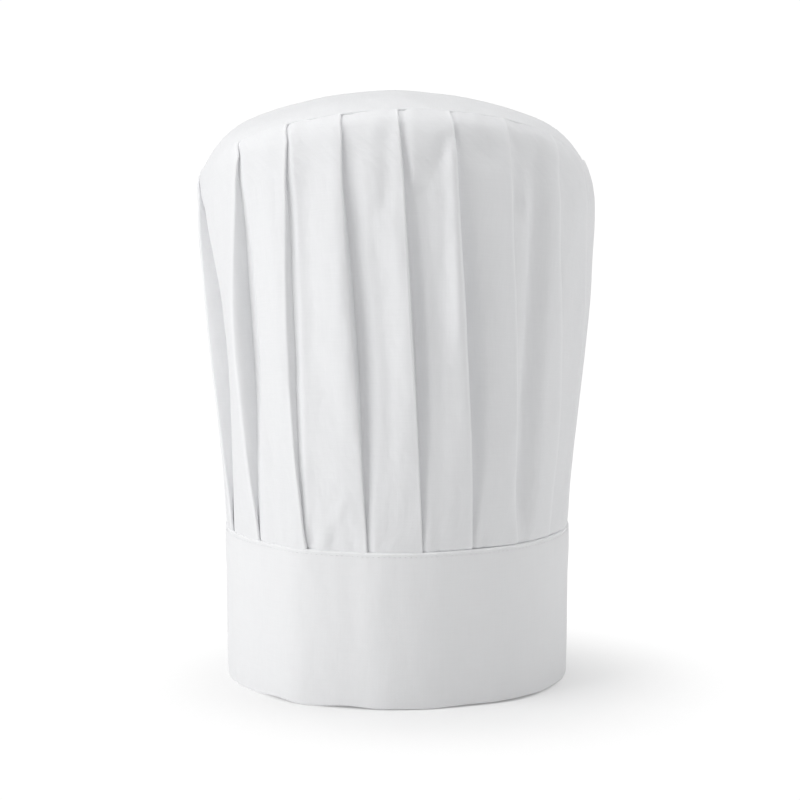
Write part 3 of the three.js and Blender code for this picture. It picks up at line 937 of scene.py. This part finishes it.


# Soft studio lights: where each stands as seen from the hat (azimuth and elevation in degrees, distance and
# size in metres) and its power in watts. They aim at the middle of the hat. The floor glows as painted
# light:
# a little near the hat, which lightens its shade there, and fading to the backdrop's brightness from a near
# to a far distance round a middle point in front of the hat, which covers the floor's shade farther out.
LIGHTS = [
    SimpleNamespace(name="key", azimuth=-64, elevation=20, distance=2.6, size=2.1, power=38.5),
    SimpleNamespace(name="top", azimuth=0, elevation=88, distance=2.6, size=1.8, power=42),
    SimpleNamespace(name="fill", azimuth=90, elevation=30, distance=2.6, size=1.8, power=15),
]
SKY = 0.16
BACKDROP = 1.03
FLOOR_COLOR = 0.78
FLOOR_GLOW = 0.16
FLOOR_MIDDLE = (0.025, -0.045, 0)
FLOOR_NEAR = 0.05
FLOOR_FAR = 0.19
AIM_HEIGHT = 0.17


def make_floor():
    half = 12
    corners = [(-half, -half, 0), (half, -half, 0), (half, half, 0), (-half, half, 0)]
    mesh = bpy.data.meshes.new("floor")
    mesh.from_pydata(corners, [], [(0, 1, 2, 3)])
    floor = bpy.data.objects.new("floor", mesh)
    bpy.context.scene.collection.objects.link(floor)
    material = bpy.data.materials.new("floor")
    material.use_nodes = True
    nodes, links = material.node_tree.nodes, material.node_tree.links
    shader = nodes["Principled BSDF"]
    shader.inputs["Base Color"].default_value = (FLOOR_COLOR, FLOOR_COLOR, FLOOR_COLOR, 1)
    shader.inputs["Roughness"].default_value = 1
    shader.inputs["Specular IOR Level"].default_value = 0
    shader.inputs["Emission Color"].default_value = (1, 1, 1, 1)
    # Painted light: the floor glows a little near the hat, lightening the shade on it and the light it
    # throws onto the hat
    shader.inputs["Emission Strength"].default_value = FLOOR_GLOW
    glow = nodes.new("ShaderNodeEmission")
    glow.inputs["Strength"].default_value = BACKDROP
    place = nodes.new("ShaderNodeTexCoord")
    distance = nodes.new("ShaderNodeVectorMath")
    distance.operation = "DISTANCE"
    distance.inputs[1].default_value = FLOOR_MIDDLE
    # Beyond the near distance the floor turns into the glowing backdrop, which covers its shade there and
    # lights the hat from below
    fade = nodes.new("ShaderNodeMapRange")
    fade.interpolation_type = "SMOOTHSTEP"
    fade.inputs["From Min"].default_value = FLOOR_NEAR
    fade.inputs["From Max"].default_value = FLOOR_FAR
    blend = nodes.new("ShaderNodeMixShader")
    links.new(place.outputs["Object"], distance.inputs[0])
    links.new(distance.outputs["Value"], fade.inputs["Value"])
    links.new(fade.outputs["Result"], blend.inputs["Fac"])
    links.new(shader.outputs["BSDF"], blend.inputs[1])
    links.new(glow.outputs["Emission"], blend.inputs[2])
    links.new(blend.outputs["Shader"], nodes["Material Output"].inputs["Surface"])
    mesh.materials.append(material)


def make_lights():
    for light in LIGHTS:
        data = bpy.data.lights.new(light.name, "AREA")
        data.shape = "SQUARE"
        data.size = light.size
        data.energy = light.power
        lamp = bpy.data.objects.new(light.name, data)
        azimuth, elevation = math.radians(light.azimuth), math.radians(light.elevation)
        flat = math.cos(elevation)
        away = Vector((math.sin(azimuth) * flat, -math.cos(azimuth) * flat, math.sin(elevation)))
        lamp.location = Vector((0, 0, AIM_HEIGHT)) + away * light.distance
        lamp.rotation_euler = away.to_track_quat("Z", "Y").to_euler()
        bpy.context.scene.collection.objects.link(lamp)
    world = bpy.data.worlds.new("studio")
    world.use_nodes = True
    nodes, links = world.node_tree.nodes, world.node_tree.links
    around = nodes["Background"]
    around.inputs["Color"].default_value = (1, 1, 1, 1)
    around.inputs["Strength"].default_value = SKY
    seen = nodes.new("ShaderNodeBackground")
    seen.inputs["Color"].default_value = (1, 1, 1, 1)
    seen.inputs["Strength"].default_value = BACKDROP
    path = nodes.new("ShaderNodeLightPath")
    choose = nodes.new("ShaderNodeMixShader")
    links.new(path.outputs["Is Camera Ray"], choose.inputs["Fac"])
    links.new(around.outputs["Background"], choose.inputs[1])
    links.new(seen.outputs["Background"], choose.inputs[2])
    links.new(choose.outputs["Shader"], nodes["World Output"].inputs["Surface"])
    bpy.context.scene.world = world
    bpy.context.scene.view_settings.view_transform = "Standard"


make_camera()
make_floor()
make_lights()
crown, top, band, stitching = make_crown(), make_top(), make_band(), make_stitching()
crown_cotton = cotton("pressed_cotton", PLAIN_THREAD, False, SINGLE_TONES, SINGLE_CRUMPLE)
top_cotton = cotton("top_cotton", PLAIN_THREAD, False, SINGLE_TONES, SINGLE_CRUMPLE)
band_cotton = cotton("twill_cotton", TWILL_THREAD, True, DOUBLE_TONES, DOUBLE_CRUMPLE)
for piece, node, slot, material in (
    (crown, "crown", "crown_cloth", crown_cotton),
    (top, "top_panel", "top_cloth", top_cotton),
    (band, "band", "band_cloth", band_cotton),
    (stitching, None, "band_cloth", sewing_thread()),
):
    piece.data.materials.append(material)
    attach(piece, "root")
    if node:
        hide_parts(node)
